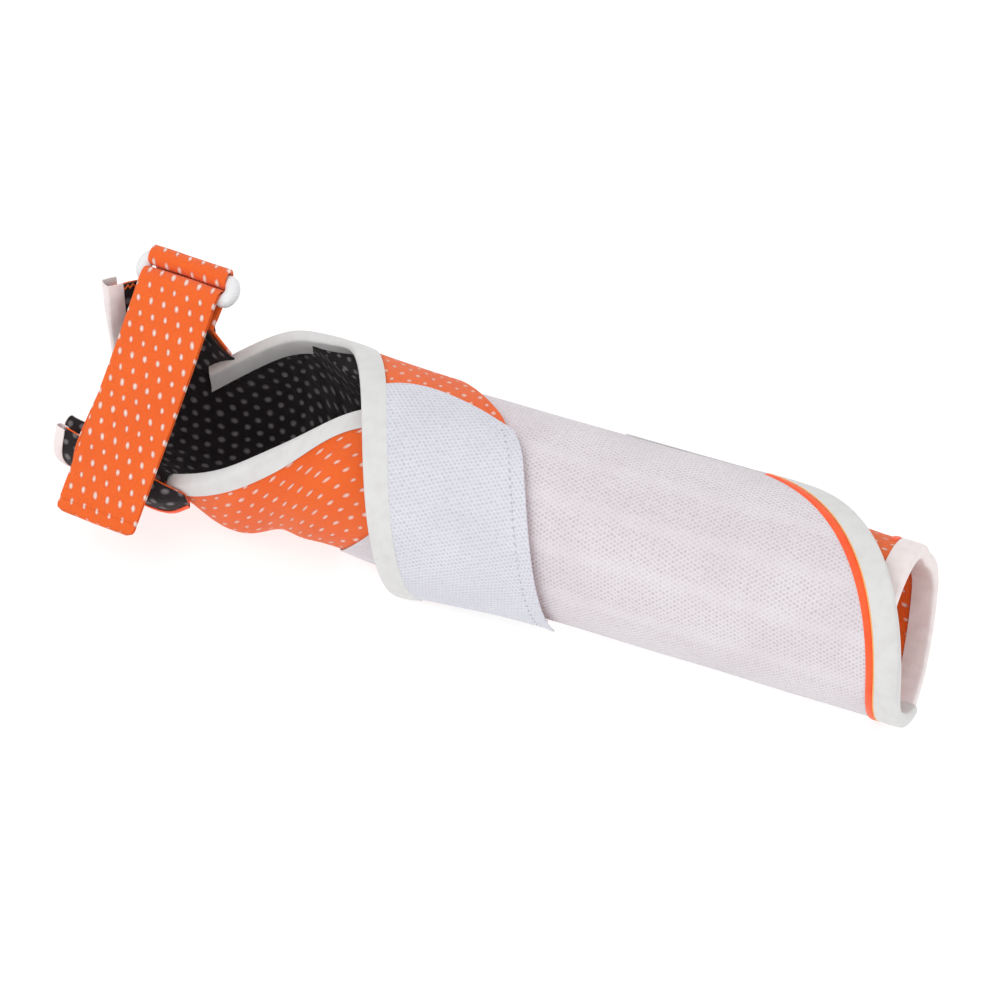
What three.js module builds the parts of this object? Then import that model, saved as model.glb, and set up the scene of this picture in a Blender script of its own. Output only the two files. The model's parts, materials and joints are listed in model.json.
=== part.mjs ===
// Wrap-around wrist guard: a rolled forearm sleeve, a wrist wing that wraps over it, and an
// open hand band closed by a strap through a plastic ring.
// Millimetres, +Z up. +X runs from the hand to the elbow, -Y is the side with the wing.
// Every wall is a flat-cut layer rolled about the arm axis, so most pieces are one sheet()
// with its own edges and its own depth below the outer surface.
import * as THREE from 'three';

// ---- driving dimensions -------------------------------------------------------------------
const LENGTH = 382;            // hand edge to elbow edge
const ORIGIN_X = 191;          // origin is half way along
const AXIS_HEIGHT = 39.5;      // arm axis above the flat resting strip
const TUBE_R = 41.5;           // outer radius of the rolled sleeve
const GAP = 0.3;               // between neighbouring pieces

const FACE = 1.3;              // face fabric
const FOAM = 1.9;              // foam core
const LINING = 1.1;            // lining fabric
const WALL = FACE + FOAM + LINING + 2 * GAP;

const BAND_END = 49;           // hand band, from x = 0
const WRIST_END = 172;         // wrist part ends and the rolled forearm part starts
const FLAP_START = 233.6;      // the forearm flap moves from here to the elbow
const BINDING = 8.8;           // width of the white binding
const PIPING = 3;              // width of the orange piping beside it

// Angles about the arm axis in degrees: 0 is -Y, 90 is up, 180 is +Y, 270 is down.
const FLAP_HINGE = -32;
const FLAP_FREE = 148;
const TUCKED_EDGE = 40;        // inner edge of the roll, under the flap
const TUCKED_R = 36.4;         // outer radius of the roll where the flap lies over it
const TUCKED_ELBOW_R = 32;     // and at the elbow, where it is pressed flatter
const WING_HINGE = 110;
const WING_FREE = -50;
const WING_ROOT = 152;
const WING_COLOUR_LINE = 94;   // orange mesh above, white loop fabric below
const WING_IN_R = 42.6;        // inner radius of the wing where it hugs the sleeve
const WING_LINING = 1;
const WING_OUT_R = WING_IN_R + WING_LINING + GAP + FACE;
const WING_WIDTH = 71;
const WING_CORNER = 18;        // how far its elbow corner is rounded back at the root

const STRAP_THICK = 2.4;
const STRAP_PLY = 0.6;
const STRAP_X = [12.5, 50.5];  // strap edges at the ring
const STRAP_ROOT_X = [6.5, 44.5];  // strap edges at the hand band
const RING_X = [7, 57.7];
const RING_BAR = 3.4;
const RING_UPPER = [29.6, 53.8];  // bar in the tab, as [y, z] from the arm axis
const RING_LOWER = [20.8, 48.3];  // bar that the strap folds over
const STRAP_DOWN = [-0.797, -0.604];  // direction of the pulled strap, from the ring
const STRAP_OUT = [-0.604, 0.797];    // outward from it
const STRAP_LENGTH = 108;
const RING_SKEW = 0.07;        // the ring's far end along X sits this much nearer, per mm

// ---- materials ----------------------------------------------------------------------------
function material(name, color, roughness, metalness = 0) {
  return new THREE.MeshStandardMaterial({ name, color, roughness, metalness });
}
const orangeMesh = material('orange_mesh', 0xfd6c2a, 0.75);
const blackMesh = material('black_mesh', 0x191218, 0.85);
const loopFabric = material('loop_fabric', 0xe2dce2, 0.9);
const whiteBinding = material('white_binding', 0xe8e8e6, 0.7);
const orangePiping = material('orange_piping', 0xfc5a2c, 0.6);
const foam = material('foam', 0xe6cfc4, 0.95);
const hook = material('hook_tape', 0xd9d9dc, 0.8);
const stayPlastic = material('stay_plastic', 0xb8bcc2, 0.5);
const ringPlastic = material('ring_plastic', 0xe1e4e8, 0.35);

// ---- helpers ------------------------------------------------------------------------------
const radians = THREE.MathUtils.degToRad;
const { lerp, smoothstep } = THREE.MathUtils;
const part = new THREE.Group();

function add(name, geometry, surface) {
  const mesh = new THREE.Mesh(geometry, surface);
  mesh.name = name;
  part.add(mesh);
}

// Turns the faces outward when the mapping has mirrored them.
function faceOutward(geometry) {
  const { position } = geometry.attributes;
  const index = geometry.index.array;
  const corner = [0, 1, 2].map(() => new THREE.Vector3());
  let volume = 0;
  for (let i = 0; i < index.length; i += 3) {
    corner.forEach((point, k) => point.fromBufferAttribute(position, index[i + k]));
    volume += corner[0].dot(corner[1].cross(corner[2]));
  }
  if (volume < 0) {
    for (let i = 0; i < index.length; i += 3) {
      [index[i], index[i + 1]] = [index[i + 1], index[i]];
    }
  }
  geometry.computeVertexNormals();
  return geometry;
}

// A box of cells bent to shape: place(s, t, w) gives the point at s and t along the sheet
// and w through it, each from 0 to 1. Both faces are split along the same diagonals, so that
// layers nest.
function sheet(alongCells, acrossCells, place) {
  const geometry = new THREE.BoxGeometry(1, 1, 1, alongCells, acrossCells, 1);
  const { position } = geometry.attributes;
  const index = geometry.index.array;
  const farFace = geometry.groups[5];
  for (let i = farFace.start; i < farFace.start + farFace.count; i += 6) {
    const [a, b, d, , c] = index.subarray(i, i + 5);
    index.set([a, b, c, a, c, d], i);
  }
  for (let i = 0; i < position.count; i += 1) {
    const point = place(position.getX(i) + 0.5, position.getY(i) + 0.5, position.getZ(i) + 0.5);
    position.setXYZ(i, point[0], point[1], point[2]);
  }
  return faceOutward(geometry);
}

const cellsFor = (angleFrom, angleTo) => Math.ceil(Math.abs(angleTo - angleFrom) / 9);

// ---- rolled forearm sleeve ----------------------------------------------------------------
// The roll is flat underneath, where the guard rests.
function rolled(x, angle, radius, depth) {
  const down = Math.cos(radians(angle + 90));
  const flat = down > 0 ? (AXIS_HEIGHT - depth) / down : Infinity;
  const r = Math.min(radius - depth, flat);
  return [x, -r * Math.cos(radians(angle)), r * Math.sin(radians(angle))];
}

// Outer radius of the roll: small under the flap, full past the flap's free edge.
function rollRadius(angle, x) {
  const flattened = smoothstep(x, 250, LENGTH);
  const tucked = lerp(TUCKED_R, TUCKED_ELBOW_R, flattened);
  return lerp(tucked, TUBE_R, smoothstep(angle, FLAP_FREE + 1, lerp(174, 200, flattened)));
}
const elbowEdge = (angle) => LENGTH - 12 + 12 * smoothstep(angle, 150, 330);
// The flap's elbow corner is cut away in a long round.
const flapEdge = (angle) => LENGTH - 0.00074 * Math.max(0, angle + 10) ** 2.3;

// A layer of the roll between two angles, with its edges given as functions of the angle.
function rollLayer(xFrom, xTo, angleFrom, angleTo, depthFrom, depthTo, radius, alongCells = 2) {
  return sheet(alongCells, cellsFor(angleFrom, angleTo), (s, t, w) => {
    const angle = lerp(angleFrom, angleTo, t);
    const x = lerp(xFrom(angle), xTo(angle), s);
    return rolled(x, angle, radius(angle, x), lerp(depthFrom, depthTo, w));
  });
}
const fixedX = (x) => () => x;
const tubeR = () => TUBE_R;

const ROLL_END = 360 + FLAP_HINGE - 0.4;
const PANEL_EDGE = 285;   // the roll's face is orange before this angle and white after it
const rollStart = fixedX(WRIST_END + GAP);
const rollTrim = (angle) => elbowEdge(angle) - BINDING - GAP;
const pipingStart = (angle) => elbowEdge(angle) - BINDING - 2 * GAP - PIPING;
const TUCKED_BAND = 4;    // width in degrees of the binding on the tucked edge
const ROLL_CELLS = 4;

add('forearm_mesh_face', rollLayer(rollStart, (a) => pipingStart(a),
  TUCKED_EDGE + TUCKED_BAND + 0.5, PANEL_EDGE - 0.5, 0, FACE, rollRadius, ROLL_CELLS), orangeMesh);
add('forearm_foam', rollLayer(rollStart, rollTrim,
  TUCKED_EDGE + TUCKED_BAND + 0.5, ROLL_END, FACE + GAP, FACE + GAP + FOAM, rollRadius, ROLL_CELLS), foam);
add('forearm_lining', rollLayer(rollStart, rollTrim,
  TUCKED_EDGE + TUCKED_BAND + 0.5, ROLL_END, WALL - LINING, WALL, rollRadius, ROLL_CELLS), orangeMesh);
add('tucked_edge_binding', rollLayer(rollStart, rollTrim,
  TUCKED_EDGE, TUCKED_EDGE + TUCKED_BAND, 0, WALL, rollRadius, ROLL_CELLS), whiteBinding);
add('elbow_rim_binding', rollLayer((a) => elbowEdge(a) - BINDING, elbowEdge,
  TUCKED_EDGE, ROLL_END, 0, WALL, rollRadius), whiteBinding);
add('elbow_rim_piping', rollLayer((a) => pipingStart(a) + GAP, rollTrim,
  TUCKED_EDGE + TUCKED_BAND + 0.5, PANEL_EDGE - 0.5, 0, FACE, rollRadius), orangePiping);
add('hinge_side_panel', rollLayer(rollStart, (a) => pipingStart(a),
  PANEL_EDGE, ROLL_END, 0, FACE, tubeR), loopFabric);
add('hinge_side_piping', rollLayer((a) => pipingStart(a) + GAP, rollTrim,
  PANEL_EDGE, ROLL_END, 0, FACE, tubeR), orangePiping);
add('wrist_loop_panel', rollLayer(rollStart, fixedX(FLAP_START - GAP),
  FLAP_HINGE + 0.4, FLAP_FREE, 0, FACE, tubeR), loopFabric);
add('wrist_panel_lining', rollLayer(rollStart, fixedX(FLAP_START - GAP),
  FLAP_HINGE + 0.4, FLAP_FREE, FACE + GAP, FACE + GAP + LINING, tubeR), orangeMesh);

// ---- forearm flap -------------------------------------------------------------------------
const flapStart = fixedX(FLAP_START);
const FLAP_LINING_DEPTH = 2.7;
const FLAP_WALL = 3.7;
const FREE_BAND = 6;      // width in degrees of the binding on the free edge
const flapFaceEnd = (a) => flapEdge(a) - BINDING - PIPING - 2 * GAP;
const freeBandStart = FLAP_FREE - FREE_BAND;

add('flap_loop_panel', rollLayer(flapStart, flapFaceEnd,
  FLAP_HINGE + 0.4, freeBandStart - 0.5, 0, FACE, tubeR), loopFabric);
add('flap_lining', rollLayer(flapStart, (a) => flapEdge(a) - BINDING - GAP,
  FLAP_HINGE + 0.4, freeBandStart - 0.5, FLAP_LINING_DEPTH, FLAP_WALL, tubeR), orangeMesh);
add('flap_piping', rollLayer((a) => flapFaceEnd(a) + GAP, (a) => flapEdge(a) - BINDING - GAP,
  FLAP_HINGE + 0.4, freeBandStart - 0.5, 0, FACE, tubeR), orangePiping);
add('flap_elbow_binding', rollLayer((a) => flapEdge(a) - BINDING, flapEdge,
  FLAP_HINGE + 0.4, FLAP_FREE, 0, FLAP_WALL, tubeR), whiteBinding);
add('flap_free_binding', rollLayer(flapStart, (a) => flapEdge(a) - BINDING - 3 * GAP,
  freeBandStart, FLAP_FREE, 0, FLAP_WALL, tubeR), whiteBinding);
add('flap_hook_strip', rollLayer(fixedX(246), fixedX(290),
  118, 139, FLAP_WALL + GAP, FLAP_WALL + GAP + 0.7, tubeR), hook);

// Flat battens in the channels between the flap's panel and its lining.
const STAY_ANGLES = [12, 40, 68];
const STAY_SPAN = 18;
STAY_ANGLES.forEach((angle, i) => {
  add(`flap_stay_${i + 1}`, rollLayer(fixedX(246), fixedX(346),
    angle - STAY_SPAN / 2, angle + STAY_SPAN / 2, FACE + GAP, FLAP_LINING_DEPTH - GAP, tubeR), stayPlastic);
});

// ---- wrist wing ---------------------------------------------------------------------------
// Its hand edge sweeps towards the elbow as it comes down, and stands off the wrist.
const TOP_ANGLE = 133.6;
function wingEdge(angle) {
  const turn = THREE.MathUtils.clamp((TOP_ANGLE - angle) / 180, 0, 1);
  return 104 + 55 * (1 - (1 - turn) ** 2);
}
function wingLayer(fromEdge, toEdge, angleFrom, angleTo, radiusFrom, radiusTo) {
  return sheet(4, cellsFor(angleFrom, angleTo), (s, t, w) => {
    const angle = lerp(angleFrom, angleTo, t);
    const across = lerp(fromEdge, toEdge, s);
    const flare = lerp(3, 5.2, smoothstep(-angle, -WING_HINGE, 40));
    const radius = lerp(radiusFrom, radiusTo, w) + flare * (1 - across / WING_WIDTH) ** 2;
    const corner = WING_CORNER * smoothstep(angle, 68, 135) * (across / WING_WIDTH) ** 2;
    return rolled(wingEdge(angle) + across - corner, angle, radius, 0);
  });
}
const WING_FACE_R = WING_OUT_R - FACE;
const HINGE_GAP = 0.4;
const wingTop = WING_HINGE - HINGE_GAP;

add('wing_mesh_face', wingLayer(BINDING + GAP, WING_WIDTH,
  wingTop, WING_COLOUR_LINE + 0.4, WING_FACE_R, WING_OUT_R), orangeMesh);
add('wing_loop_panel', wingLayer(BINDING + GAP, WING_WIDTH,
  WING_COLOUR_LINE, WING_FREE, WING_FACE_R, WING_OUT_R), loopFabric);
add('wing_lining', wingLayer(BINDING + GAP, WING_WIDTH,
  wingTop, WING_FREE, WING_IN_R, WING_IN_R + WING_LINING), orangeMesh);
add('wing_binding', wingLayer(0, BINDING, wingTop, WING_FREE, WING_IN_R, WING_OUT_R), whiteBinding);
add('wing_hook_patch', wingLayer(26, 66, -18, WING_FREE + 3, TUBE_R + GAP, WING_IN_R - GAP), hook);
add('wing_root_face', wingLayer(BINDING + GAP, WING_WIDTH,
  WING_ROOT, WING_HINGE + HINGE_GAP, WING_FACE_R, WING_OUT_R), orangeMesh);
add('wing_root_lining', wingLayer(BINDING + GAP, WING_WIDTH,
  WING_ROOT, WING_HINGE + HINGE_GAP, WING_IN_R, WING_IN_R + WING_LINING), orangeMesh);
add('wing_root_binding', wingLayer(0, BINDING,
  WING_ROOT, WING_HINGE + HINGE_GAP, WING_IN_R, WING_OUT_R), whiteBinding);

// ---- hand band and wrist part -------------------------------------------------------------
// Each section is the wall's outer line in [y, z], from the far edge, down and under, to the
// near edge. A round section needs only its radius and its two end angles.
function roundSection(x, radius, farAngle, nearAngle) {
  const points = [];
  for (let i = 0; i <= 6; i += 1) {
    const [, y, z] = rolled(x, lerp(farAngle, nearAngle, i / 6), radius, 0);
    points.push([y, z]);
  }
  return { x, points };
}
const bandSections = [
  { x: 0, points: [[17.6, 47.1], [22, 28], [22, 6], [13, -14], [-4, -20], [-19, -13], [-29.4, -1.6]] },
  { x: 11, points: [[30.2, 44.6], [27.8, 27], [24.5, 5], [14, -16], [-4, -23], [-20, -16], [-31, -3.5]] },
  { x: 30, points: [[29.5, 37], [28.3, 23], [26, 4], [15, -19], [-4, -26], [-21, -20], [-33.5, -6.5]] },
  { x: BAND_END, points: [[27.2, 17], [28.5, 7], [27, -8], [17, -23], [-2, -31], [-22, -27], [-37.5, -10]] },
];
const wristSections = [
  { x: BAND_END + GAP,
    points: [[27, 13.1], [28.5, 3], [27, -10], [17, -23.5], [-1, -31.5], [-22, -27.5], [-37.5, -10]] },
  { x: 71, points: [[36, 26.3], [40, 12], [38, -8], [24, -30], [-3, -38.5], [-28, -33.5], [-40.5, 2.7]] },
  { x: 88, points: [[36, 32], [41.5, 13], [39, -10], [26, -31], [-1, -39.3], [-30, -31.5], [-39, 13.5]] },
  roundSection(108, 39.5, 138, 360 + 45),
  roundSection(130, 38.8, 145, 360 + 82),
  roundSection(WRIST_END, TUBE_R, 157, 360 + 95),
];

// Smooth surface through the sections: u runs from the first to the last, v across them.
function loft(sections) {
  const rings = sections.map(({ x, points }) => (
    new THREE.CatmullRomCurve3(points.map(([y, z]) => new THREE.Vector3(x, y, z)))));
  const at = (u, v) => {
    const along = rings.map((ring) => ring.getPoint(THREE.MathUtils.clamp(v, 0, 1)));
    return new THREE.CatmullRomCurve3(along).getPoint(THREE.MathUtils.clamp(u, 0, 1));
  };
  // The point at a depth below the surface, on the side of the hand and in the same section.
  return (u, v, depth) => {
    const step = 0.004;
    const along = at(u + step, v).sub(at(u - step, v));
    const across = at(u, v + step).sub(at(u, v - step));
    const inward = across.cross(along).setX(0).normalize();
    return at(u, v).addScaledVector(inward, depth).toArray();
  };
}
function loftLayer(surface, cells, uFrom, uTo, vFrom, vTo, depthFrom, depthTo) {
  return sheet(cells[0], cells[1], (s, t, w) => (
    surface(lerp(uFrom, uTo, s), lerp(vFrom, vTo, t), lerp(depthFrom, depthTo, w))));
}
const layers = { mesh_face: [0, FACE, orangeMesh], foam: [FACE + GAP, WALL - LINING - GAP, foam],
  lining: [WALL - LINING, WALL, blackMesh] };

const band = loft(bandSections);
const DISTAL_U = 0.18;    // the distal binding's share of the band's length
const EDGE_V = 0.05;      // an edge binding's share of the wall's width
for (const [name, [from, to, surface]] of Object.entries(layers)) {
  add(`hand_band_${name}`, loftLayer(band, [5, 22],
    DISTAL_U + 0.01, 0.995, EDGE_V + 0.005, 1, from, to), surface);
}
add('hand_band_end_binding', loftLayer(band, [1, 24], 0, DISTAL_U, 0, 1, 0, WALL), whiteBinding);
add('hand_band_top_binding', loftLayer(band, [5, 1],
  DISTAL_U + 0.01, 0.995, 0, EDGE_V, 0, WALL), whiteBinding);

const wrist = loft(wristSections);
for (const [name, [from, to, surface]] of Object.entries(layers)) {
  add(`wrist_${name}`, loftLayer(wrist, [15, 20],
    0.005, 0.995, EDGE_V + 0.005, 1 - EDGE_V - 0.005, from, to), surface);
}
add('wrist_far_binding', loftLayer(wrist, [15, 1], 0.005, 0.995, 0, EDGE_V, 0, WALL), whiteBinding);
add('tongue_binding', loftLayer(wrist, [15, 1], 0.005, 0.995, 1 - EDGE_V, 1, 0, WALL), whiteBinding);
// A patch of loop fabric on the near underside, with a slanted edge.
add('wrist_loop_patch', sheet(4, 5, (s, t, w) => (
  wrist(lerp(lerp(0.72, 0.9, t), 0.95, s), lerp(0.5, 0.7, t), lerp(-1.1, -GAP, w)))), loopFabric);

// The band's near lip is turned outward, so its lining shows.
const lipSections = [
  { x: 0, points: [[-31.5, 0.6], [-34.4, -9], [-31, -18], [-24, -25]] },
  { x: BAND_END, points: [[-40, -7.6], [-42.3, -13.5], [-40, -19], [-35.5, -23.8]] },
];
const lip = loft(lipSections);
add('lip_backing', loftLayer(lip, [3, 8], 0.01, 1, 0.06, 1, -1.4, -0.15), orangeMesh);
add('lip_lining', loftLayer(lip, [3, 8], 0.01, 1, 0.06, 1, 0.15, 1.4), blackMesh);

// ---- ring, tab and strap ------------------------------------------------------------------
// Ribbon along a curve in the YZ plane that may differ at its two long edges. ply 0 to 1 is
// the side the offset is counted to.
function ribbon(xEdges, curves, cells, offsetFrom, offsetTo, tFrom = 0, tTo = 1) {
  return sheet(1, cells, (s, t, w) => {
    const along = lerp(tFrom, tTo, t);
    const points = curves.map((curve) => curve.getPointAt(along));
    const tangents = curves.map((curve) => curve.getTangentAt(along));
    const point = points[0].lerp(points[1], s);
    const tangent = tangents[0].lerp(tangents[1], s).normalize();
    const offset = lerp(offsetFrom, offsetTo, w);
    return [lerp(xEdges[0](along), xEdges[1](along), s),
      point.y - tangent.z * offset, point.z + tangent.y * offset];
  });
}
const curve = (points) => {
  const vectors = points.map(([y, z]) => new THREE.Vector3(0, y, z));
  const line = new THREE.CatmullRomCurve3(vectors, false, 'centripetal');
  line.arcLengthDivisions = 600;
  return line;
};

// The ring lies slightly askew, and so do the strap and the tab that pass round its bars.
const ringMidX = (RING_X[0] + RING_X[1]) / 2;
const askew = (x) => RING_SKEW * (ringMidX - x);

// Point beside the ring's lower bar at x: down along the strap and out from it.
const atRing = (x, down, out) => [
  RING_LOWER[0] + STRAP_DOWN[0] * down + STRAP_OUT[0] * out + askew(x),
  RING_LOWER[1] + STRAP_DOWN[1] * down + STRAP_OUT[1] * out,
];
const FOLD_R = RING_BAR / 2 + 0.9 + STRAP_THICK / 2;
const foldAngles = [-90, -60, -30, 0, 30, 60, 90].map(radians);
const UNDER_PLY = -2.1;   // the strap's lower layer, out from the ring's bar
const OVER_PLY = 2.1;     // its upper layer
const HINGE_DOWN = 9;     // the tail hinges this far down from the ring's bar
const rootLeft = [[-35.4, -20.9], [-28.2, -28.6], [-28.4, -32.6], [-33, -33.6], [-38.6, -27.4], [-41.6, -17],
  [-39, -3.5]];
const rootRight = [[-42.4, -20.4], [-38.6, -26.2], [-39.6, -29.6], [-43.6, -30], [-47.6, -25], [-48.8, -17],
  [-46.6, -8.5]];
function strapCurve(x, root, landing) {
  const fold = foldAngles.map((a) => atRing(x, -FOLD_R * Math.cos(a), FOLD_R * Math.sin(a)));
  return curve([...root, atRing(x, landing, UNDER_PLY), atRing(x, 40, UNDER_PLY), atRing(x, 12, -3),
    ...fold, atRing(x, HINGE_DOWN, 3.5)]);
}
const strapCurves = [strapCurve(STRAP_X[0], rootLeft, 62), strapCurve(STRAP_X[1], rootRight, 72)];
const skewed = (k) => (along) => lerp(STRAP_ROOT_X[k], STRAP_X[k], smoothstep(along, 0.2, 0.85));
const strapEdges = [skewed(0), skewed(1)];
const plies = { face: [0.6, 1.2], core: [-0.3, 0.3], back: [-1.2, -0.6] };
for (const [name, [from, to]] of Object.entries(plies)) {
  add(`strap_${name}`, ribbon(strapEdges, strapCurves, 64, from, to),
    name === 'core' ? foam : orangeMesh);
}

const tailCurves = STRAP_X.map((x) => curve([atRing(x, HINGE_DOWN + 0.5, 3.5), atRing(x, 28, 2.5),
  atRing(x, 45, OVER_PLY), atRing(x, 75, OVER_PLY), atRing(x, STRAP_LENGTH, OVER_PLY)]));
const tailEdges = STRAP_X.map((x) => () => x);
const HEM = 0.9;          // the tail's last tenth is a folded hem
for (const [name, [from, to]] of Object.entries(plies)) {
  add(`tail_${name}`, ribbon(tailEdges, tailCurves, 14, from, to, 0, HEM - 0.005),
    name === 'core' ? foam : orangeMesh);
}
add('tail_hem', ribbon(tailEdges, tailCurves, 2, -1.2, 1.2, HEM, 1), orangeMesh);
const hookEdges = [() => STRAP_X[0] + 5, () => STRAP_X[1] - 5];
add('tail_hook_patch', ribbon(hookEdges, tailCurves, 6, 1.5, 2, 0.5, 0.88), hook);

// Ring: a rounded frame with two long bars and softened edges.
function roundedRect(target, halfX, halfY, radius) {
  target.moveTo(halfX, -halfY + radius);
  target.absarc(halfX - radius, halfY - radius, radius, 0, Math.PI / 2);
  target.absarc(-halfX + radius, halfY - radius, radius, Math.PI / 2, Math.PI);
  target.absarc(-halfX + radius, -halfY + radius, radius, Math.PI, Math.PI * 1.5);
  target.absarc(halfX - radius, -halfY + radius, radius, Math.PI * 1.5, Math.PI * 2);
  return target;
}
const barGap = Math.hypot(RING_UPPER[0] - RING_LOWER[0], RING_UPPER[1] - RING_LOWER[1]);
const ringHalfX = (RING_X[1] - RING_X[0]) / 2;
const ringHalfY = (barGap + RING_BAR) / 2;
const BEVEL = 1.2;
const ringShape = roundedRect(new THREE.Shape(), ringHalfX - BEVEL, ringHalfY - BEVEL, 4.6);
ringShape.holes.push(roundedRect(new THREE.Path(),
  ringHalfX - RING_BAR + BEVEL, ringHalfY - RING_BAR + BEVEL, 2.2));
const ringGeometry = new THREE.ExtrudeGeometry(ringShape, {
  depth: RING_BAR - 2 * BEVEL, bevelThickness: BEVEL, bevelSize: BEVEL, bevelSegments: 3, curveSegments: 6,
});
ringGeometry.translate(0, 0, -RING_BAR / 2 + BEVEL);
const ring = new THREE.Mesh(ringGeometry, ringPlastic);
ring.name = 'ring';
ring.position.set(ringMidX, (RING_UPPER[0] + RING_LOWER[0]) / 2, (RING_UPPER[1] + RING_LOWER[1]) / 2);
ring.rotation.order = 'ZYX';
ring.rotation.set(Math.atan2(RING_UPPER[1] - RING_LOWER[1], RING_UPPER[0] - RING_LOWER[0]),
  0, -Math.atan(RING_SKEW));
part.add(ring);

// Tab: a folded strip that holds the ring's upper bar and is sewn outside the band's far wall.
const TAB_THICK = 1.4;
const TAB_R = RING_BAR / 2 + 0.9 + TAB_THICK / 2;
const tabAngles = [-15, 15, 45, 75, 105, 135, 165, 195].map(radians);
const tabCurves = STRAP_X.map((x) => curve([[34.9, 36], [34.8, 42], [34, 48.5],
  ...tabAngles.map((a) => [RING_UPPER[0] + TAB_R * Math.cos(a), RING_UPPER[1] + TAB_R * Math.sin(a)]),
  [30.9, 48.5], [32.8, 42], [32.8, 36]].map(([y, z]) => [y + askew(x), z])));
// The legs taper towards their sewn ends.
const TAB_TAPER = 11;
const tabEdges = [tailEdges[0],
  (along) => STRAP_X[1] - TAB_TAPER * smoothstep(Math.abs(along - 0.5), 0.2, 0.5)];
add('ring_tab', ribbon(tabEdges, tabCurves, 40, -TAB_THICK / 2, TAB_THICK / 2), orangeMesh);

part.children.forEach((mesh) => {
  mesh.position.x -= ORIGIN_X;
  mesh.position.z += AXIS_HEIGHT;
});

export default part;
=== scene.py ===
"""Wrap-around wrist guard: the sewn fabric pieces around the CAD frame.

Shapes are worked out in millimetres from the arm axis: x from the hand edge to the elbow,
y away from the wing side, z up. to_frame() puts them in the frame's metres.
Angles about the arm axis are in degrees: 0 is -Y, 90 is up, 180 is +Y, 270 is down.
"""
import json
import math

import bpy
import numpy as np
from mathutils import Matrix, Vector


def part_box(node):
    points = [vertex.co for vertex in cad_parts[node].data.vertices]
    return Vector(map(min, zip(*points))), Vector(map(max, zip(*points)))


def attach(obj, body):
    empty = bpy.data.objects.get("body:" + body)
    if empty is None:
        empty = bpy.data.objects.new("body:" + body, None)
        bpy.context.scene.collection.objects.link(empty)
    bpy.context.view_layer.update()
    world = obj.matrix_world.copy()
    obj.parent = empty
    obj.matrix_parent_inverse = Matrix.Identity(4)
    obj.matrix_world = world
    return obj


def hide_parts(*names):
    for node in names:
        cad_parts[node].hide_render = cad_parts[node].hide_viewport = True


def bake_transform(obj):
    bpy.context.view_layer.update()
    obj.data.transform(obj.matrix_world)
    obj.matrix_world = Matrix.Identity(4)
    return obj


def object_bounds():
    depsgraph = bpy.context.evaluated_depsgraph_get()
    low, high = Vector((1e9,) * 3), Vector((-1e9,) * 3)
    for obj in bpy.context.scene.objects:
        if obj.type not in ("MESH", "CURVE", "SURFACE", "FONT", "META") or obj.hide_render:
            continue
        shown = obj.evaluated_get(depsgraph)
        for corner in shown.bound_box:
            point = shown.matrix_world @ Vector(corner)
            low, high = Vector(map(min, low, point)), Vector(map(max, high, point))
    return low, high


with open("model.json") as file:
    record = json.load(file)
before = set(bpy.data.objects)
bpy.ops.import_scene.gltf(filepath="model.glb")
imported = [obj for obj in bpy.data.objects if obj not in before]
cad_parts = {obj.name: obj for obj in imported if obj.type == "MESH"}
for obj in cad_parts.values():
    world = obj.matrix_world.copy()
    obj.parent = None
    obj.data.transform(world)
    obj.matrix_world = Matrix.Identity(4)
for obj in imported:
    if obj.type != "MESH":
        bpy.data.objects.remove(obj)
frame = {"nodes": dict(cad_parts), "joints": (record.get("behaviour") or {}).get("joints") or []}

CAD_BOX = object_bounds()

# ---- driving dimensions, from the frame -------------------------------------------------
JOINTS = {joint["name"]: joint for joint in frame["joints"]}
FLAP_HINGE = -32
FLAP_FREE = 148
WING_HINGE = 110
WING_FREE = -50
WING_ROOT = 152

_, hinge_y, hinge_z = [1000 * v for v in JOINTS["flap_open"]["pos_m"]]
TUBE_R = -hinge_y / math.cos(math.radians(FLAP_HINGE))
AXIS_Z = hinge_z - TUBE_R * math.sin(math.radians(FLAP_HINGE))
ORIGIN_X = -1000 * CAD_BOX[0].x
LENGTH = 1000 * (CAD_BOX[1].x - CAD_BOX[0].x)


def node_box(name):
    """A CAD node's lowest and highest corners in millimetres from the hand edge and arm axis."""
    shift = np.array([ORIGIN_X, 0, -AXIS_Z])
    return [1000 * np.array(corner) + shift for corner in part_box(name)]


WRIST_START = round(float(node_box("wrist_lining")[0][0])) + 0.3
WRIST_END = round(float(node_box("wrist_lining")[1][0]))
FLAP_START = node_box("flap_loop_panel")[0][0]
STRAP_LEFT, STRAP_RIGHT = (corner[0] for corner in node_box("tail_hem"))
RING_LOW, RING_HIGH = node_box("ring")

BAND_END = WRIST_START - 0.3
FACE = 1.3               # face fabric
LINING = 1.2             # lining fabric
WALL = 4.9               # face, foam and lining together
FLAP_WALL = 3.7
TAPE = 0.5               # binding tape, folded over an edge
BINDING = 8.8            # how far a folded tape reaches in from the edge
FLAP_BINDING = 9.2       # the same on the flap
TUCKED_EDGE = 40
TUCKED_R = TUBE_R - 5.1
TUCKED_ELBOW_R = TUBE_R - 10.8
PANEL_EDGE = 285         # the roll's face is orange before this angle and white after it
WING_IN_R = TUBE_R + 1.1
WING_THICK = 2.6
WING_MID_R = 45
WING_WIDTH = 71
WING_CORNER = 18
UV_SCALE = 1 / 400


# ---- small maths ------------------------------------------------------------------------
def lerp(a, b, t):
    return a + (b - a) * t


def smooth(value, low, high):
    t = np.clip((np.asarray(value, float) - low) / (high - low), 0, 1)
    return t * t * (3 - 2 * t)


def unit(v):
    return v / np.maximum(np.linalg.norm(v, axis=-1, keepdims=True), 1e-9)


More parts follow.
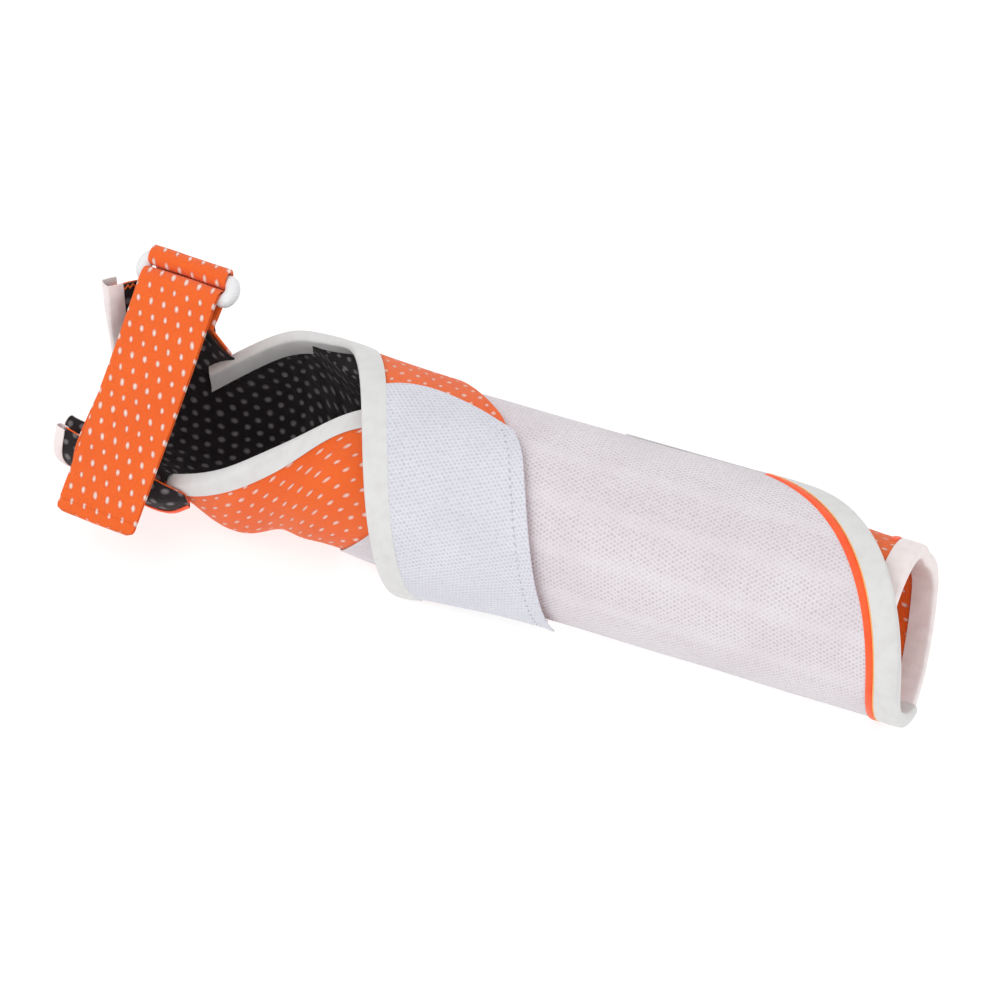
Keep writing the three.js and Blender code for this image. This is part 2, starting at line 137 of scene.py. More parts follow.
def spline(points, t):
    """Centripetal Catmull-Rom through points (first axis), at t from 0 to 1."""
    p = np.asarray(points, float)
    p = np.concatenate([[2 * p[0] - p[1]], p, [2 * p[-1] - p[-2]]])
    gap = np.sqrt(np.linalg.norm(np.diff(p, axis=0), axis=-1, keepdims=True))
    place = np.clip(np.asarray(t, float), 0, 1) * (len(p) - 3)
    i = np.minimum(place.astype(int), len(p) - 4)
    f = (place - i).reshape((-1,) + (1,) * (p.ndim - 1))
    p0, p1, p2, p3 = (p[i + k] for k in range(4))
    a, b, c = (gap[i + k] for k in range(3))
    start = b * ((p1 - p0) / a - (p2 - p0) / (a + b) + (p2 - p1) / b)
    end = b * ((p2 - p1) / b - (p3 - p1) / (b + c) + (p3 - p2) / c)
    return ((2 * f**3 - 3 * f**2 + 1) * p1 + (f**3 - 2 * f**2 + f) * start
            + (3 * f**2 - 2 * f**3) * p2 + (f**3 - f**2) * end)


def ripple(a, b, size, seed):
    """Gentle uneven waves over the plane (a, b), about one high."""
    total = 0
    for k in range(5):
        turn = seed * 1.7 + k * 2.399
        step = (0.7 + 0.23 * k) * 2 * math.pi / size
        total = total + np.sin(step * (a * math.cos(turn) + b * math.sin(turn)) + seed * 3.1 + k * 1.3)
    return total / 2.6


def waves(uv, size, seed):
    return ripple(uv[..., 0], uv[..., 1], size, seed)


def pair(a, b):
    """Two arrays, broadcast against each other, as the last axis of one."""
    return np.stack(np.broadcast_arrays(a, b), -1)


def along(points):
    """Distance along a path of points."""
    steps = np.linalg.norm(np.diff(points, axis=0), axis=1)
    return np.concatenate([[0], np.cumsum(steps)])


def resample(rows, spacing):
    """Rows of points again, evenly spaced along the path of their first column."""
    rows = np.asarray(rows, float)
    flat = rows.reshape(len(rows), -1)
    s = along(flat[:, :3])
    new = np.linspace(0, s[-1], max(2, int(round(s[-1] / spacing)) + 1))
    out = np.stack([np.interp(new, s, flat[:, k]) for k in range(flat.shape[1])], 1)
    return out.reshape((len(new),) + rows.shape[1:])


def relax(rows, times):
    """Evens out rows along their first axis, in place; both ends stay."""
    for _ in range(times):
        rows[1:-1] = (rows[:-2] + 2 * rows[1:-1] + rows[2:]) / 4
    return rows


def to_frame(points):
    return (np.asarray(points, float) + [-ORIGIN_X, 0, AXIS_Z]) * 0.001


# ---- meshes -----------------------------------------------------------------------------
def build(name, points, faces, uv, material):
    """A smooth-shaded mesh object from points in millimetres, faces and one UV per point."""
    mesh = bpy.data.meshes.new(name)
    mesh.from_pydata(to_frame(points).tolist(), [], [list(face) for face in faces])
    layer = mesh.uv_layers.new(name="UVMap")
    corner = np.zeros(len(mesh.loops), np.int32)
    mesh.loops.foreach_get("vertex_index", corner)
    layer.data.foreach_set("uv", (np.asarray(uv, float)[corner] * UV_SCALE).ravel().astype(np.float32))
    mesh.polygons.foreach_set("use_smooth", [True] * len(mesh.polygons))
    mesh.materials.append(material)
    mesh.update()
    mesh.set_sharp_from_angle(angle=math.radians(38))
    piece = bpy.data.objects.new(name, mesh)
    bpy.context.scene.collection.objects.link(piece)
    return piece


def place_piece(piece, slot, *nodes, bend=None):
    """Fastens a piece to the sleeve, or across a joint, and hides the CAD nodes it stands for."""
    if bend:
        bend(piece)
    else:
        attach(piece, "sleeve")
    if nodes:
        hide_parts(*nodes)
    return piece


def normals_of(grid):
    """Unit normals of a grid of points, pointing away from the arm axis on the whole."""
    du, dv = np.gradient(grid, axis=0), np.gradient(grid, axis=1)
    normal = unit(np.cross(du, dv))
    outward = grid * [0, 1, 1]
    return normal if (normal * outward).sum() > 0 else -normal


def calm(grid, reach=12):
    """1 in the middle of a grid, falling to 0 at its edges."""
    factor = 1
    for axis in (0, 1):
        step = np.linalg.norm(np.diff(grid, axis=axis), axis=-1)
        zero = np.zeros_like(np.take(step, [0], axis))
        run = np.concatenate([zero, np.cumsum(step, axis)], axis)
        total = np.take(run, [-1], axis)
        factor = factor * smooth(np.minimum(run, total - run), 2, reach)
    return factor


def skin(name, grid, uv, depth, thick, material, lift=0, normal=None):
    """A closed cloth sheet: its outer face lies depth below the grid, and lift moves it out."""
    normal = normals_of(grid) if normal is None else normal
    lift = np.broadcast_to(lift, grid.shape[:2])[..., None]
    outer = grid + normal * (lift - depth)
    inner = outer - normal * thick
    rows, cols = grid.shape[:2]
    index = np.arange(rows * cols).reshape(rows, cols)
    turned = np.cross(grid[1, 0] - grid[0, 0], grid[0, 1] - grid[0, 0]) @ normal[0, 0] > 0
    cells = np.stack([index[:-1, :-1], index[1:, :-1], index[1:, 1:], index[:-1, 1:]], -1).reshape(-1, 4)
    if not turned:
        cells = cells[:, ::-1]
    count = rows * cols
    faces = cells.tolist() + (cells[:, ::-1] + count).tolist()
    rim = np.concatenate([index[:-1, 0], index[-1, :-1], index[:0:-1, -1], index[0, :0:-1]])
    inside = np.concatenate([index[:-1, 1], index[-2, :-1], index[:0:-1, -2], index[1, :0:-1]])
    flat_outer, flat_inner = outer.reshape(-1, 3), inner.reshape(-1, 3)
    away = unit(flat_outer[rim] - flat_outer[inside])
    middle = (flat_outer[rim] + flat_inner[rim]) / 2 + away * thick * 0.3
    ring = 2 * count + np.arange(len(rim))
    for k in range(len(rim)):
        j = (k + 1) % len(rim)
        upper = [rim[k], rim[j], ring[j], ring[k]]
        lower = [ring[k], ring[j], rim[j] + count, rim[k] + count]
        faces += [upper, lower] if turned else [upper[::-1], lower[::-1]]
    flat_uv = uv.reshape(-1, 2)
    piece = build(name, np.concatenate([flat_outer, flat_inner, middle]), faces,
                  np.concatenate([flat_uv, flat_uv, flat_uv[rim]]), material)
    return piece


def strip_of(grid, normal, width, inset=0.0):
    """Points and normals of a strip along a grid's first column, starting an inset away from it."""
    steps = 8
    reach = np.linspace(inset, inset + width, steps)
    points, normals = np.empty((len(grid), steps, 3)), np.empty((len(grid), steps, 3))
    for row in range(len(grid)):
        s = along(grid[row])
        for k in range(3):
            points[row, :, k] = np.interp(reach, s, grid[row, :, k])
            normals[row, :, k] = np.interp(reach, s, normal[row, :, k])
    return points, unit(normals)


def flat_strip(path, place, width, steps=8):
    """The same for a path drawn on a flat cut, whose inner side is on the path's left."""
    tangent = unit(np.gradient(path, axis=0))
    inward = np.stack([-tangent[:, 1], tangent[:, 0]], 1)
    reach = np.linspace(0, width, steps)[None, :, None]
    cut = path[:, None] + inward[:, None] * reach
    grid = place(cut[..., 0], cut[..., 1])
    return grid, normals_of(grid)


def fold_tape(name, strip, normal, wall, material, seed):
    """A tape folded over a cloth's edge, flat on both sides and round at the edge."""
    squash = 0.45
    both = resample(np.concatenate([strip, normal], 1), 1.6)
    steps = strip.shape[1]
    strip, normal = both[:, :steps], unit(both[:, steps:])
    run = along(strip[:, 0])[:, None]
    wall = np.interp(np.linspace(0, 1, len(strip)), np.linspace(0, 1, np.size(wall)), np.ravel(wall))
    wall = wall[:, None, None]
    across = np.linspace(0, 1, steps)[None]
    crown = np.sin(np.pi * across)
    puff = 0.1 + 0.22 * crown + 0.1 * ripple(run, across * 9, 16, seed) * crown
    puff = puff[..., None] + TAPE
    upper = strip + normal * puff
    lower = strip - normal * (wall + puff)
    edge, up = strip[:, :1], normal[:, :1]
    inward = unit(strip[:, 1:2] - edge)
    turn = np.radians(np.arange(20, 161, 20))[None, :, None]
    radius = wall / 2 + puff[:, :1]
    bow = edge - up * wall / 2 + radius * (up * np.cos(turn) - inward * squash * np.sin(turn))
    bow_normal = unit(up * np.cos(turn) - inward * np.sin(turn))
    grid = np.concatenate([upper[:, ::-1], bow, lower], 1)
    normals = np.concatenate([normal[:, ::-1], bow_normal, -normal], 1)
    profile = np.concatenate([np.zeros((len(grid), 1)),
                              np.cumsum(np.linalg.norm(np.diff(grid, axis=1), axis=2), 1)], 1)
    uv = pair(run, profile)
    return skin(name, grid, uv, 0, TAPE, material, 0, normals)


def edge_tape(name, strip, wall, material, seed, slot, *nodes, bend=None):
    """Folds a tape over an edge, given its strip's points and normals, and fastens it."""
    return place_piece(fold_tape(name, *strip, wall, material, seed), slot, *nodes, bend=bend)


def sides_swapped(*grids):
    """Grids with rows and columns changed over, so that strip_of follows their first row."""
    return [grid.transpose(1, 0, 2) for grid in grids]


def cord_along(name, path, normal, half_width, half_height, material, rows=12):
    """A closed oval cord laid along a path."""
    both = resample(np.stack([path, normal], 1), 1.4)
    path, normal = both[:, 0], unit(both[:, 1])
    tangent = unit(np.gradient(path, axis=0))
    side = unit(np.cross(tangent, normal))
    angle = np.linspace(0, 2 * math.pi, rows + 1)[:-1]
    scale = np.ones(len(path))
    scale[[0, -1]] = 0.4
    points = (path[:, None] + scale[:, None, None]
              * (side[:, None] * half_width * np.cos(angle)[None, :, None]
                 + normal[:, None] * half_height * np.sin(angle)[None, :, None]))
    index = np.arange(points.shape[0] * rows).reshape(-1, rows)
    across = np.roll(index, -1, 1)
    faces = np.stack([index[:-1], index[1:], across[1:], across[:-1]], -1).reshape(-1, 4).tolist()
    faces += [index[0].tolist(), index[-1, ::-1].tolist()]
    uv = pair(along(path)[:, None], angle[None] * half_width)
    return build(name, points.reshape(-1, 3), faces, uv.reshape(-1, 2), material)


def stitches(name, path, normal, pitch, length, radius, material, slant=0.0):
    """A row of short rounded stitches along a path, slanted to and fro for a zigzag."""
    both = resample(np.stack([path, normal], 1), 0.5)
    path, normal = both[:, 0], unit(both[:, 1])
    s = along(path)
    rings, sides = 5, 6
    points, faces, uv = [], [], []
    for count, start in enumerate(np.arange(pitch / 2, s[-1] - pitch / 2, pitch)):
        centre, up = (np.array([np.interp(start, s, a[:, k]) for k in range(3)]) for a in (path, normal))
        ahead = np.array([np.interp(start + 0.5, s, path[:, k]) for k in range(3)])
        direction, up = unit(ahead - centre), unit(up)
        turn = slant * (-1) ** count
        direction = unit(direction * math.cos(turn) + np.cross(up, direction) * math.sin(turn))
        across = np.cross(up, direction)
        base = len(points)
        for i in range(rings):
            f = i / (rings - 1)
            r = radius * math.sqrt(max(0.06, 1 - (2 * f - 1) ** 2))
            for j in range(sides):
                a = 2 * math.pi * j / sides
                points.append(centre + direction * (f - 0.5) * length
                              + across * r * math.cos(a) + up * r * math.sin(a))
                uv.append((start + f * length, j))
        for i in range(rings - 1):
            low, high = base + i * sides, base + (i + 1) * sides
            for j in range(sides):
                k = (j + 1) % sides
                faces.append([high + j, high + k, low + k, low + j])
        faces.append([base + j for j in range(sides)])
        faces.append([base + (rings - 1) * sides + j for j in reversed(range(sides))])
    return build(name, np.array(points), faces, np.array(uv), material)


# ---- materials --------------------------------------------------------------------------
def srgb(r, g, b):
    def linear(c):
        c /= 255
        return c / 12.92 if c < 0.04045 else ((c + 0.055) / 1.055) ** 2.4
    return (linear(r), linear(g), linear(b), 1)


def set_inputs(node, **values):
    """Sets a node's sockets; an underscore in a name stands for a space."""
    for name, value in values.items():
        node.inputs[name.replace("_", " ")].default_value = value


class Look:
    """A node material, with short helpers for the maths of a woven or knitted pattern."""

    def __init__(self, name, roughness, sheen=0.0):
        self.material = bpy.data.materials.new(name)
        self.material.use_nodes = True
        self.tree = self.material.node_tree
        self.shader = self.tree.nodes["Principled BSDF"]
        set_inputs(self.shader, Roughness=roughness, Specular_IOR_Level=0.25)
        if sheen:
            set_inputs(self.shader, Sheen_Weight=sheen, Sheen_Roughness=0.5)
        uv = self.tree.nodes.new("ShaderNodeUVMap")
        uv.uv_map = "UVMap"
        scaled = self.tree.nodes.new("ShaderNodeVectorMath")
        scaled.operation = "SCALE"
        set_inputs(scaled, Scale=1 / UV_SCALE)
        self.link(uv.outputs["UV"], scaled.inputs[0])
        self.place = scaled.outputs["Vector"]
        split = self.tree.nodes.new("ShaderNodeSeparateXYZ")
        self.link(self.place, split.inputs[0])
        self.x, self.y = split.outputs[0], split.outputs[1]

    def link(self, source, target):
        self.tree.links.new(source, target)

    def put(self, value, socket):
        if isinstance(value, bpy.types.NodeSocket):
            self.link(value, socket)
        else:
            socket.default_value = value

    def math(self, operation, *values):
        node = self.tree.nodes.new("ShaderNodeMath")
        node.operation = operation
        for value, socket in zip(values, node.inputs):
            self.put(value, socket)
        return node.outputs[0]

    def times(self, a, b):
        return self.math("MULTIPLY", a, b)

    def noise(self, scale, detail=2.0):
        node = self.tree.nodes.new("ShaderNodeTexNoise")
        self.link(self.place, node.inputs["Vector"])
        set_inputs(node, Scale=scale, Detail=detail)
        return node.outputs["Fac"]

    def span(self, value, low, high, to_low=0.0, to_high=1.0):
        node = self.tree.nodes.new("ShaderNodeMapRange")
        node.interpolation_type = "SMOOTHSTEP"
        for socket, v in zip(node.inputs, (value, low, high, to_low, to_high)):
            self.put(v, socket)
        return node.outputs[0]

    def mix(self, factor, a, b):
        node = self.tree.nodes.new("ShaderNodeMix")
        node.data_type = "RGBA"
        for value, socket in ((factor, node.inputs[0]), (a, node.inputs[6]), (b, node.inputs[7])):
            self.put(value, socket)
        return node.outputs[2]

    def turned(self, angle, wander):
        """The pattern's own x and y, turned by an angle in degrees and a little uneven."""
        c, s = math.cos(math.radians(angle)), math.sin(math.radians(angle))
        x = self.math("ADD", self.x, self.math("MULTIPLY_ADD", self.noise(0.045), 2 * wander, -wander))
        y = self.math("ADD", self.y, self.math("MULTIPLY_ADD", self.noise(0.06), 2 * wander, -wander))
        new_x = self.math("MULTIPLY_ADD", x, c, self.times(y, s))
        new_y = self.math("MULTIPLY_ADD", y, c, self.times(x, -s))
        return new_x, new_y

    def dot(self, x, y, pitch, radii, shift, lean=0.0):
        """Distance from the nearest point of a grid, 1 at the edge of its leaning oval dot."""
        c, s = math.cos(lean), math.sin(lean)
        off = []
        for value, p in zip((x, y), pitch):
            cell = self.math("FRACT", self.math("MULTIPLY_ADD", value, 1 / p, shift))
            off.append(self.times(self.math("SUBTRACT", cell, 0.5), p))
        squares = []
        for (a, b), r in zip(((c, s), (-s, c)), radii):
            part = self.math("MULTIPLY_ADD", off[0], a / r, self.times(off[1], b / r))
            squares.append(self.times(part, part))
        return self.math("SQRT", self.math("ADD", *squares))

    def finish(self, colour, height=None, strength=0.5, distance=0.0004):
        self.put(colour, self.shader.inputs["Base Color"])
        if height is not None:
            bump = self.tree.nodes.new("ShaderNodeBump")
            set_inputs(bump, Strength=strength, Distance=distance)
            self.link(height, bump.inputs["Height"])
            self.link(bump.outputs[0], self.shader.inputs["Normal"])
        return self.material


def air_mesh(name, cloth, shade, hole, pitch, radii, angle, weak=0.85, sheen=0.2, lean=0.0):
    """Knitted sports mesh: rows of oval holes, every second row smaller, with fine courses and painted shade
    round each hole's rim.
    """
    look = Look(name, 0.75, sheen)
    x, y = look.turned(angle, 1.0)
    size = look.math("MULTIPLY_ADD", look.noise(0.31, 0.0), 0.6, 0.7)
    strong = look.times(look.dot(x, y, pitch, radii, 0, lean), size)
    small = tuple(r * weak for r in radii)
    faint = look.times(look.dot(x, y, pitch, small, 0.5, lean), size)
    near = look.math("MINIMUM", strong, faint)
    open_ = look.span(near, 1.4, 0.4)
    lip = look.span(near, 1.1, 2.0)
    courses = look.math("SINE", look.times(x, 2 * math.pi / 0.8))
    wales = look.math("SINE", look.times(y, 2 * math.pi / 0.95))
    knit = look.times(courses, wales)
    grain = look.noise(1.3, 3.0)
    patch = look.span(look.noise(0.03, 3.0), 0.35, 0.7)
    body = look.mix(look.span(knit, -1, 1, 0.0, 0.4), cloth, shade)
    body = look.mix(look.span(grain, 0.4, 0.75, 0.0, 0.35), body, shade)
    body = look.mix(look.times(patch, 0.25), body, shade)
    # Painted shade: the cloth is darkened towards the shade colour round the rim of each hole, where it dips
    # in.
    body = look.mix(look.times(look.math("SUBTRACT", 1.0, lip), 0.4), body, shade)
    colour = look.mix(open_, body, hole)
    height = look.math("MULTIPLY_ADD", knit, 0.3, look.math("MULTIPLY_ADD", open_, -1.4, grain))
    return look.finish(colour, height, 0.8, 0.0006)


def loop_pile(name, cloth, shade, angle, lines=()):
    """Brushed loop fabric: a fine staggered net of dimples with painted shade in them, fainter along its sewn
    lines.
    """
    look = Look(name, 0.9, 0.3)
    x, y = look.turned(angle, 0.6)
    pitch, radii = (3.0, 1.9), (0.6, 0.5)
    near = look.math("MINIMUM", look.dot(x, y, pitch, radii, 0), look.dot(x, y, pitch, radii, 0.5))
    uneven = look.span(look.noise(0.5, 2.0), 0.3, 0.7, 0.35, 0.75)
    pits = look.times(look.span(near, 1.7, 0.3), uneven)
    # Along the sewn lines the dimples' painted shade is weaker.
    for line in lines:
        off = look.math("ABSOLUTE", look.math("SUBTRACT", look.y, line))
        pits = look.times(pits, look.span(off, 0.5, 5.0, 0.65, 1.0))
    fuzz = look.noise(2.2, 4.0)
    cloudy = look.span(look.noise(0.035, 3.0), 0.3, 0.75)
    body = look.mix(look.times(cloudy, 0.22), cloth, shade)
    body = look.mix(look.span(fuzz, 0.45, 0.8, 0.0, 0.3), body, shade)
    # Painted shade: the dimples are darkened with the shade colour, besides being pressed in by the bump.
    colour = look.mix(pits, body, shade)
    height = look.math("MULTIPLY_ADD", fuzz, 0.8, look.times(pits, -1.0))
    return look.finish(colour, height, 0.7, 0.0005)


def tape_look(name, cloth, shade):
    """Folded binding tape: fine cross ribs, soft creases and a slight unevenness of tone."""
    look = Look(name, 0.62, 0.2)
    ribs = 0.42
    rib = look.math("SINE", look.times(look.x, 2 * math.pi / ribs))
    weft = look.math("SINE", look.times(look.y, 2 * math.pi / ribs))
    crease = look.noise(0.16, 3.0)
    tone = look.span(crease, 0.35, 0.8)
    colour = look.mix(look.times(tone, 0.5), cloth, shade)
    height = look.math("MULTIPLY_ADD", look.math("ADD", rib, weft), 0.06, look.times(crease, 1.8))
    return look.finish(colour, height, 0.3, 0.0005)


def speckled(name, cloth, shade, scale, roughness):
    """One tone broken up by a fine grain, for foam, hook tape, thread and plastic."""
    look = Look(name, roughness)
    grain = look.noise(scale, 3.0)
    return look, look.mix(look.span(grain, 0.3, 0.7), cloth, shade), grain


def plain(name, cloth, shade, scale, roughness):
    look, colour, grain = speckled(name, cloth, shade, scale, roughness)
    return look.finish(colour, grain, 0.6, 0.0004)


def moulded(name, cloth, shade, roughness, waxy):
    look, colour, grain = speckled(name, cloth, shade, 1.4, roughness)
    set_inputs(look.shader, Subsurface_Weight=waxy, Subsurface_Radius=(0.003, 0.003, 0.003))
    return look.finish(colour, grain, 0.25, 0.0002)


ORANGE = srgb(255, 113, 30)
ORANGE_SHADE = srgb(240, 86, 22)
STAY_LINES = (-2, 26, 54, 82)
strap_mesh = air_mesh("strap_air_mesh", ORANGE, ORANGE_SHADE, srgb(252, 226, 214),
                      (6.3, 12.4), (0.85, 1.45), 0, lean=-0.3)
body_mesh = air_mesh("body_air_mesh", ORANGE, ORANGE_SHADE, srgb(252, 206, 190), (7.2, 11.8), (1.4, 0.9), 12)
wing_mesh = air_mesh("wing_air_mesh", ORANGE, ORANGE_SHADE, srgb(252, 196, 176), (6.8, 11.6), (1.0, 1.3), 20)
black_mesh = air_mesh("black_air_mesh", srgb(32, 25, 30), srgb(12, 8, 11), srgb(118, 114, 118),
                      (5.8, 11.4), (1.35, 1.3), 12, 0.95, 0.1)
loop_warm = loop_pile("panel_loop_pile", srgb(229, 224, 228), srgb(188, 174, 182), 8,
                      [math.radians(line) * TUBE_R for line in STAY_LINES])
loop_cool = loop_pile("wing_loop_pile", srgb(224, 224, 231), srgb(184, 183, 198), -8)
white_tape = tape_look("white_tape", srgb(216, 216, 215), srgb(202, 199, 199))
# The white binding tape again, painted lighter and pinker: painted light against the shade inside the roll,
# and a painted pink cast of light bounced off the orange cloth.
white_tape_painted_light = tape_look("white_tape_painted_light", srgb(238, 228, 227), srgb(220, 206, 205))
orange_tape = tape_look("orange_tape", srgb(252, 96, 48), srgb(232, 66, 26))
foam_mat = plain("foam_core", srgb(240, 196, 172), srgb(222, 160, 132), 3.0, 0.95)
ring_mat = moulded("frosted_plastic", srgb(234, 234, 235), srgb(222, 222, 224), 0.34, 0.25)
stay_mat = moulded("stay_plastic", srgb(200, 203, 206), srgb(184, 187, 190), 0.45, 0.0)
hook_mat = plain("hook_tape", srgb(226, 226, 228), srgb(184, 184, 190), 3.0, 0.85)
orange_thread = plain("orange_thread", srgb(240, 122, 52), srgb(214, 88, 28), 2.0, 0.55)
yellow_thread = plain("yellow_thread", srgb(250, 196, 120), srgb(240, 160, 84), 2.0, 0.55)
grey_thread = plain("grey_thread", srgb(196, 196, 204), srgb(168, 168, 178), 2.0, 0.55)


# ---- rolled forearm sleeve --------------------------------------------------------------
def rolled(x, angle, radius):
    """Points at an angle on a roll about the arm axis that is flat underneath."""
    down = np.cos(np.radians(angle + 90))
    flat = AXIS_Z - (TUBE_R - np.minimum(radius, TUBE_R))
    r = np.where(down > 0.05, np.minimum(radius, flat / np.maximum(down, 0.05)), radius)
    x, r, angle = np.broadcast_arrays(x, r, angle)
    return np.stack([x, -r * np.cos(np.radians(angle)), r * np.sin(np.radians(angle))], -1)


def elbow_edge(angle):
    return LENGTH - 12 + 12 * smooth(angle, 150, 330)


def flap_edge(angle):
    return LENGTH - 0.00074 * np.maximum(0, np.asarray(angle, float) + 10) ** 2.3


def tube_radius(angle, x):
    return TUBE_R + 0 * angle * x


def roll_radius(angle, x):
    """Smaller where the flap lies over the roll, and flatter there towards the elbow."""
    flattened = smooth(x, 250, LENGTH)
    tucked = lerp(TUCKED_R, TUCKED_ELBOW_R, flattened)
    return lerp(tucked, TUBE_R, smooth(angle, FLAP_FREE + 1, lerp(174, 200, flattened)))


def on_roll(radius):
    """Places a cut's x and arc length on the roll."""
    def place(x, arc):
        angle = np.degrees(arc / TUBE_R)
        return rolled(x, angle, radius(angle, x))
    return place


def roll_grid(x_from, x_to, angles, radius, step=2.0):
    """Grid and UV of a rolled panel; its elbow edge is a number or a function of the angle."""
    columns = int(abs(angles[1] - angles[0]) * math.radians(1) * TUBE_R / step) + 2
    angle = np.linspace(angles[0], angles[1], columns)[None]
    end = x_to(angle) if callable(x_to) else np.full(angle.shape, float(x_to))
    rows = int((end.max() - x_from) / step) + 2
    x = lerp(x_from, end, np.linspace(0, 1, rows)[:, None])
    uv = pair(x, np.radians(angle) * TUBE_R)
    return rolled(x, angle, radius(angle, x)), uv


def channels(uv):
    """Low ridges along the flap's sewn channels, and the cloth's own gentle waves."""
    angle = np.degrees(uv[..., 1] / TUBE_R)
    ridge = sum(np.exp(-((angle - line) / 2.2) ** 2) for line in STAY_LINES)
    inside = smooth(uv[..., 0], FLAP_START - 60, FLAP_START) * smooth(-angle, -150, -110)
    return 0.12 * ridge * inside + 0.16 * waves(uv, 70, 1)


def bend_flap(piece):
    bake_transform(piece)


def bend_wing(piece):
    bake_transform(piece)


def flap_rides(piece):
    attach(piece, "forearm_flap")


TRIM = 5                 # cloth ends this far inside its taped edge
NOSE = 1.4               # how far a tape's rounded fold stands out past its edge
HINGE_FROM = PANEL_EDGE - 360


def sleeve_pieces():
    start = WRIST_END + 0.3
    grid, uv = roll_grid(start, lambda a: elbow_edge(a) - TRIM, (TUCKED_EDGE + 3, PANEL_EDGE), roll_radius)
    face = skin("forearm_mesh", grid, uv, 0, FACE, body_mesh, 0.2 * calm(grid) * waves(uv, 45, 2))
    place_piece(face, "orange_mesh", "forearm_mesh_face", "forearm_foam", "elbow_rim_piping")

    grid, uv = roll_grid(start, lambda a: elbow_edge(a) - TRIM,
                         (TUCKED_EDGE + 3, 360 + FLAP_HINGE - 0.5), roll_radius)
    lining = skin("forearm_inner_mesh", grid, uv, WALL - LINING, LINING, body_mesh)
    place_piece(lining, "orange_mesh", "forearm_lining")

    grid, uv = roll_grid(start, FLAP_START - 0.05, (HINGE_FROM, FLAP_FREE), tube_radius)
    collar = skin("collar_loop_panel", grid, uv, 0, FACE, loop_warm, channels(uv))
    place_piece(collar, "loop_fabric", "wrist_loop_panel")
    grid, uv = roll_grid(start, FLAP_START - 0.05, (FLAP_HINGE, FLAP_FREE - 2), tube_radius)
    collar_lining = skin("collar_lining", grid, uv, FLAP_WALL - LINING, LINING, body_mesh)
    place_piece(collar_lining, "orange_mesh", "wrist_panel_lining")

    angle = np.linspace(TUCKED_EDGE, PANEL_EDGE, 200)
    rim = np.stack([elbow_edge(angle) - NOSE, np.radians(angle) * TUBE_R], 1)
    edge_tape("elbow_rim_tape", flat_strip(rim, on_roll(roll_radius), BINDING), WALL, white_tape_painted_light, 5,
              "white_binding", "elbow_rim_binding")
    pipe, normal = flat_strip(rim[60:], on_roll(roll_radius), BINDING + 2.2, 10)
    place_piece(cord_along("elbow_rim_piping_cord", pipe[:, -1], normal[:, -1], 1.6, 0.75, orange_tape),
                "orange_piping")

    x = np.linspace(LENGTH - 14, start + 1, 120)
    tucked = np.stack([x, np.full(120, math.radians(TUCKED_EDGE) * TUBE_R)], 1)
    edge_tape("tucked_edge_tape", flat_strip(tucked[::-1], on_roll(roll_radius), 7), WALL, white_tape_painted_light, 6,
              "white_binding", "tucked_edge_binding")


def flap_pieces():
    grid, uv = roll_grid(FLAP_START, lambda a: flap_edge(a) - TRIM, (HINGE_FROM, FLAP_FREE - 2), tube_radius)
    panel = skin("flap_panel", grid, uv, 0, FACE, loop_warm, channels(uv))
    place_piece(panel, "loop_fabric", "flap_loop_panel", "hinge_side_panel", bend=bend_flap)
    grid, uv = roll_grid(FLAP_START, lambda a: flap_edge(a) - TRIM,
                         (FLAP_HINGE + 0.5, FLAP_FREE - 2), tube_radius)
    lining = skin("flap_inner_mesh", grid, uv, FLAP_WALL - LINING, LINING, body_mesh)
    place_piece(lining, "orange_mesh", "flap_lining", bend=flap_rides)

    corner = FLAP_FREE - 5
    angle = np.linspace(HINGE_FROM, corner, 240)
    edge = np.stack([flap_edge(angle) - 1.5 * NOSE, np.radians(angle) * TUBE_R], 1)
    back_x = np.linspace(flap_edge(corner) - 8, FLAP_START + 1, 60)
    back = np.stack([back_x, np.full(60, math.radians(FLAP_FREE) * TUBE_R)], 1)
    path = np.concatenate([edge, back])
    rows = resample(np.pad(path, ((0, 0), (0, 1))), 1.0)[:, :2]
    path = relax(rows, 12)
    strip = flat_strip(path, on_roll(tube_radius), FLAP_BINDING)
    turned = np.degrees(path[:, 1] / TUBE_R)
    wall = lerp(WALL, FLAP_WALL, smooth(turned, -45, -20))
    edge_tape("flap_tape", strip, wall, white_tape, 3, "white_binding", "flap_elbow_binding",
              "flap_free_binding", bend=bend_flap)

    bead = path[turned < FLAP_FREE - 7]
    pipe, normal = flat_strip(bead, on_roll(tube_radius), FLAP_BINDING + 1.9, 10)
    cord = cord_along("flap_piping_cord", pipe[:, -1], normal[:, -1], 1.7, 0.8, orange_tape)
    place_piece(cord, "orange_piping", "flap_piping", "hinge_side_piping", bend=bend_flap)
    seam, normal = flat_strip(bead, on_roll(tube_radius), FLAP_BINDING + 0.1, 10)
    line = cord_along("flap_seam_thread", seam[:, -1] + normal[:, -1] * 0.55, normal[:, -1], 0.3, 0.3,
                      yellow_thread, 6)
    place_piece(line, "orange_piping", bend=bend_flap)


# ---- hand band and wrist part -----------------------------------------------------------
def section(x, points):
    return np.array([[x, y, z] for y, z in points], float)


def round_section(x, radius, far, near):
    return rolled(np.full(7, float(x)), np.linspace(far, near, 7), np.full(7, float(radius)))


